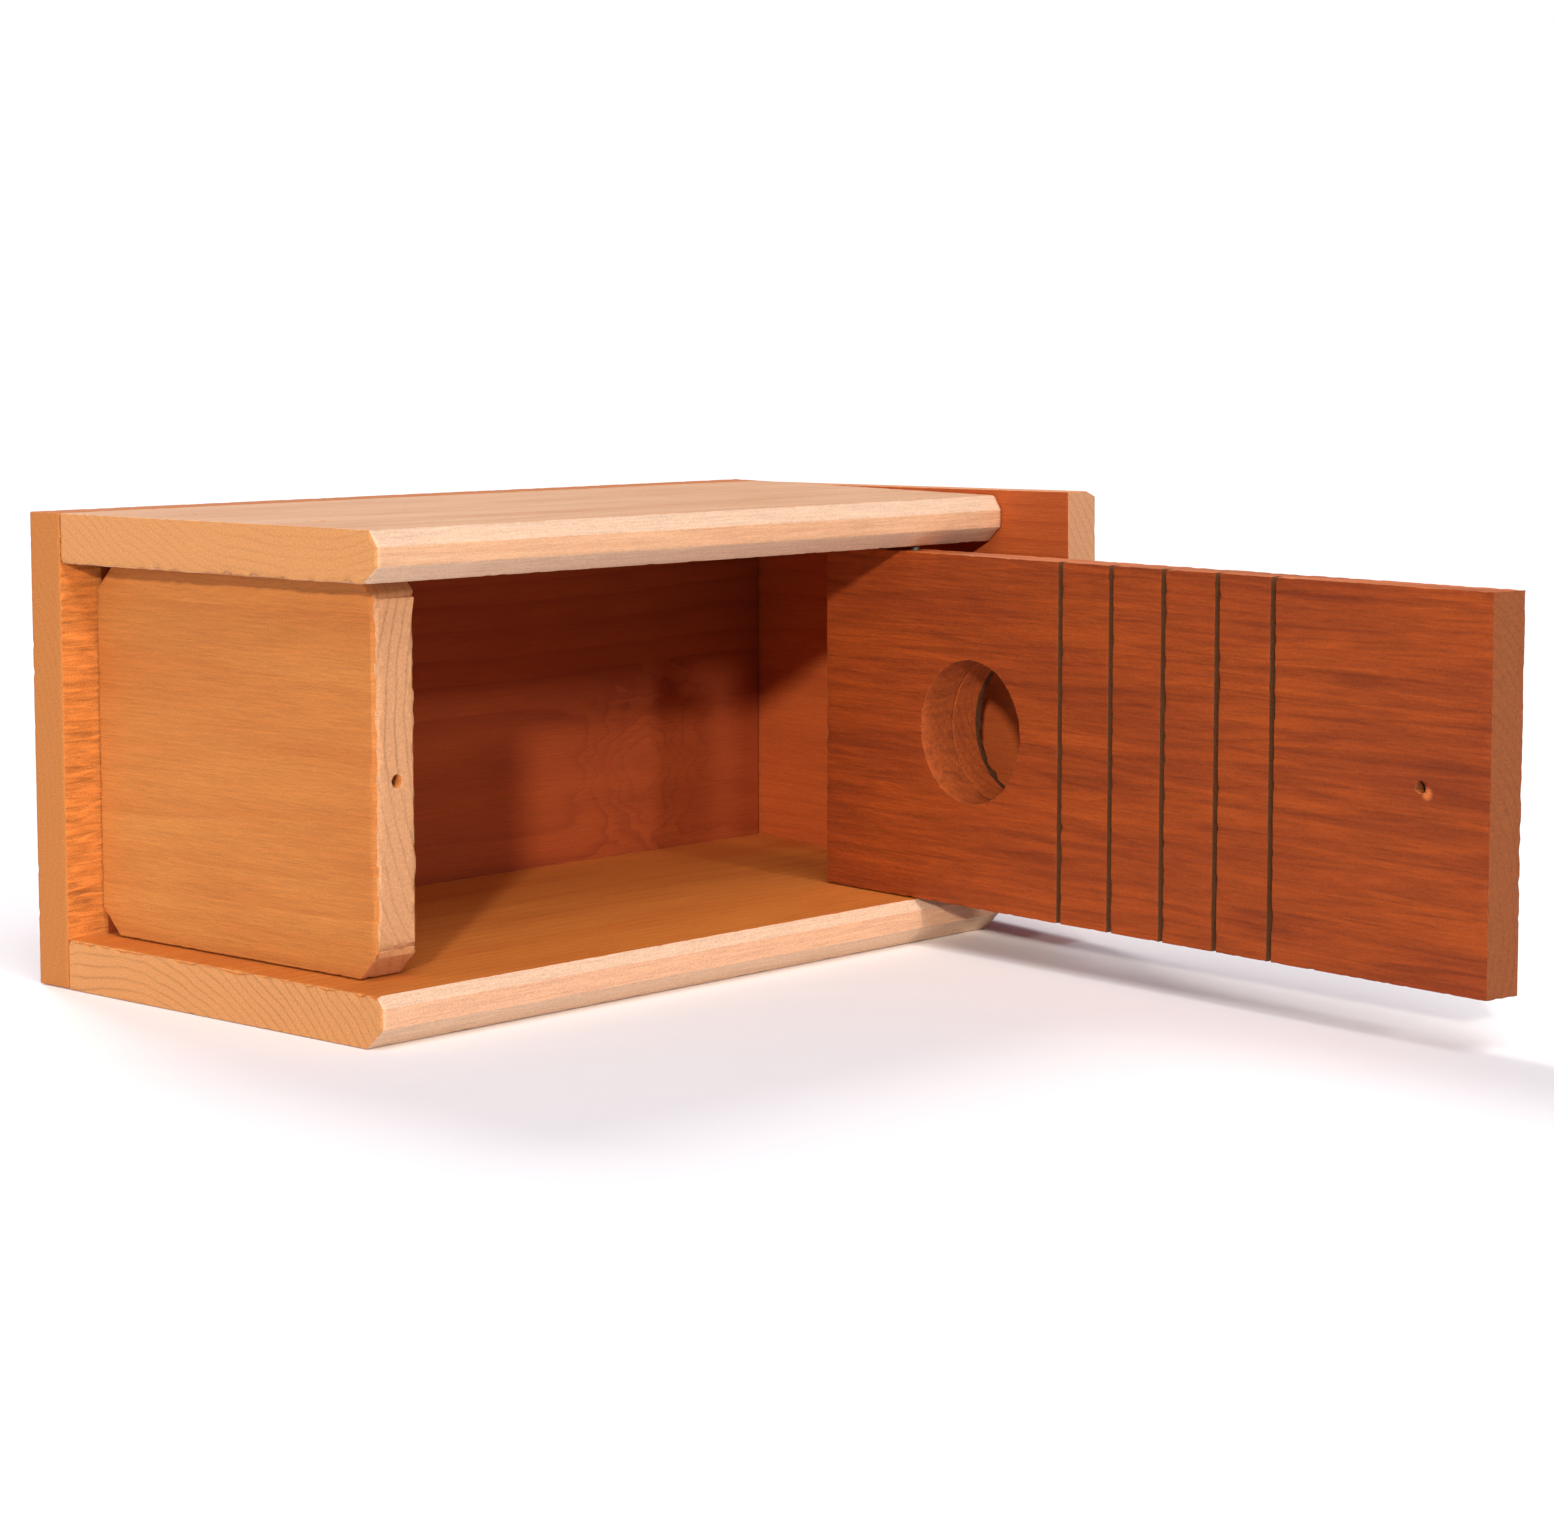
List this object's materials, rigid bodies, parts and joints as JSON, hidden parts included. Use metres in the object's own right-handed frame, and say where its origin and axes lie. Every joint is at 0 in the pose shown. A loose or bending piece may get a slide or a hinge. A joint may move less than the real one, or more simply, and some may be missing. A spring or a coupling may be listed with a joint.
{
  "type": "birdhouse",
  "caption": "Wooden nest box lying on its side: boxed sides, back and floor, a slanted overhanging roof, and a front door with a guarded entrance hole, open on its pivot nails.",
  "frame": {"origin": "centre of the footprint of the whole object, on the ground under the right side that it lies on", "axes": "+X from the floor end of the box towards its roof, +Y towards the back board, so the open front door points along -Y, and +Z up, out of the right side it lies on towards the left side. To hang it on a wall or a post, turn it -90 degrees about Y, so that +X points up, and put the back board against the wall; the side that was on top is then the viewer's left."},
  "size_m": [0.2736, 0.3244, 0.1224],
  "materials": {
    "cedar": "bare sawn cedar, unfinished",
    "cedar_door": "bare rough-sawn cedar heartwood, darker",
    "zinc_steel": "dull zinc-plated steel"
  },
  "bodies": {
    "box": {"back_board": "cedar", "left_side": "cedar", "right_side": "cedar", "floor_board": "cedar", "roof_board": "cedar", "pivot_nail_left": "zinc_steel", "pivot_nail_right": "zinc_steel", "floor_nail_left_1": "zinc_steel", "floor_nail_left_2": "zinc_steel", "floor_nail_right_1": "zinc_steel", "floor_nail_right_2": "zinc_steel", "back_nail_left_1": "zinc_steel", "back_nail_left_2": "zinc_steel", "back_nail_left_3": "zinc_steel", "back_nail_right_1": "zinc_steel", "back_nail_right_2": "zinc_steel", "back_nail_right_3": "zinc_steel", "roof_nail_left_1": "zinc_steel", "roof_nail_left_2": "zinc_steel", "roof_nail_right_1": "zinc_steel", "roof_nail_right_2": "zinc_steel", "roof_nail_back_1": "zinc_steel", "roof_nail_back_2": "zinc_steel"},
    "door": {"front_door": "cedar_door", "entrance_guard": "cedar_door", "guard_nail_1": "zinc_steel", "guard_nail_2": "zinc_steel", "guard_nail_3": "zinc_steel", "guard_nail_4": "zinc_steel"},
    "closing_screw": {"closing_screw": "zinc_steel"}
  },
  "joints": [
    {"name": "door_hinge", "type": "hinge", "parent": "box", "child": "door", "pos_m": [0.06184, 0.03827, 0.0597], "axis": [0, 0, 1], "range_deg": [-81.7, 11]},
    {"name": "closing_screw_slide", "type": "slide", "parent": "door", "child": "closing_screw", "axis": [-0.9895, 0.1444, 0], "range_m": [0, 0.0127]}
  ]
}
